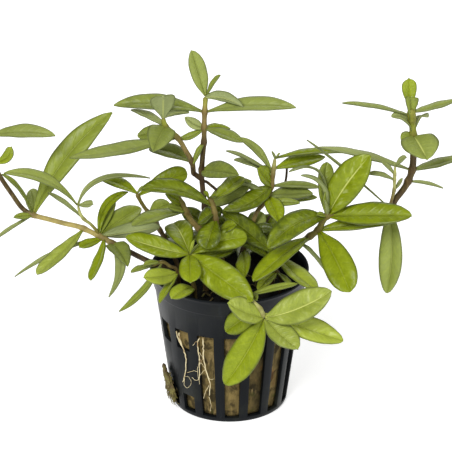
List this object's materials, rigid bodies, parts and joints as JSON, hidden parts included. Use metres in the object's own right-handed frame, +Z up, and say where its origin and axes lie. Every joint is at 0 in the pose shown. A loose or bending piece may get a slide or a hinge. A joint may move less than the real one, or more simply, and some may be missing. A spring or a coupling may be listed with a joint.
{
  "type": "potted aquarium plant",
  "caption": "Bushy leafy water plant whose stems rise, lean and creep out of a slotted tapered net pot filled with rock wool, with pale roots behind the slots.",
  "frame": {"origin": "centre of the pot's underside, where it stands", "axes": "+Z up along the pot's axis, -Y towards the front that the picture shows, +X towards the picture's right"},
  "size_m": [0.1633, 0.0709, 0.1316],
  "materials": {
    "pot_plastic": "satin",
    "rock_wool": "matte",
    "root": "satin",
    "root_tuft": "matte",
    "stem": "satin",
    "leaf": "satin"
  },
  "bodies": {
    "root": {"leaf_branch_front": "leaf", "leaf_branch_long": "leaf", "leaf_front_far_right": "leaf", "leaf_front_hanging": "leaf", "leaf_front_hanging_back": "leaf", "leaf_front_left": "leaf", "leaf_front_right": "leaf", "leaf_front_right_low": "leaf", "leaf_knee_front": "leaf", "leaf_knee_long": "leaf", "leaf_knee_right": "leaf", "leaf_left_front_long": "leaf", "leaf_low_left_side": "leaf", "leaf_middle_left": "leaf", "leaf_middle_low": "leaf", "leaf_middle_right": "leaf", "leaf_middle_top": "leaf", "leaf_right_crossing": "leaf", "leaf_right_drooping": "leaf", "leaf_right_first_down": "leaf", "leaf_right_first_up": "leaf", "leaf_right_hanging": "leaf", "leaf_right_inner_back": "leaf", "leaf_right_inner_side": "leaf", "leaf_right_inner_top": "leaf", "leaf_right_inward": "leaf", "leaf_right_round": "leaf", "leaf_right_second": "leaf", "leaf_right_tall": "leaf", "leaf_right_wide": "leaf", "leaf_rosette_back": "leaf", "leaf_rosette_front": "leaf", "leaf_rosette_left": "leaf", "leaf_rosette_long": "leaf", "leaf_rosette_right": "leaf", "leaf_runner_drooping": "leaf", "leaf_runner_inner": "leaf", "leaf_runner_long": "leaf", "leaf_runner_outer": "leaf", "leaf_runner_upper": "leaf", "leaf_shoot_left_long": "leaf", "net_pot": "pot_plastic", "rock_wool": "rock_wool", "root_left": "root", "root_middle": "root", "root_tuft": "root_tuft", "stem_front_shoot": "stem", "stem_knee": "stem", "stem_left_back": "stem", "stem_left_branch": "stem", "stem_left_front": "stem", "stem_low_left": "stem", "stem_low_right": "stem", "stem_middle": "stem", "stem_right_inner": "stem", "stem_rosette": "stem", "stem_runner_left": "stem", "stem_runner_right": "stem", "stem_shoot_left": "stem", "stem_shoot_right": "stem"}
  },
  "joints": []
}
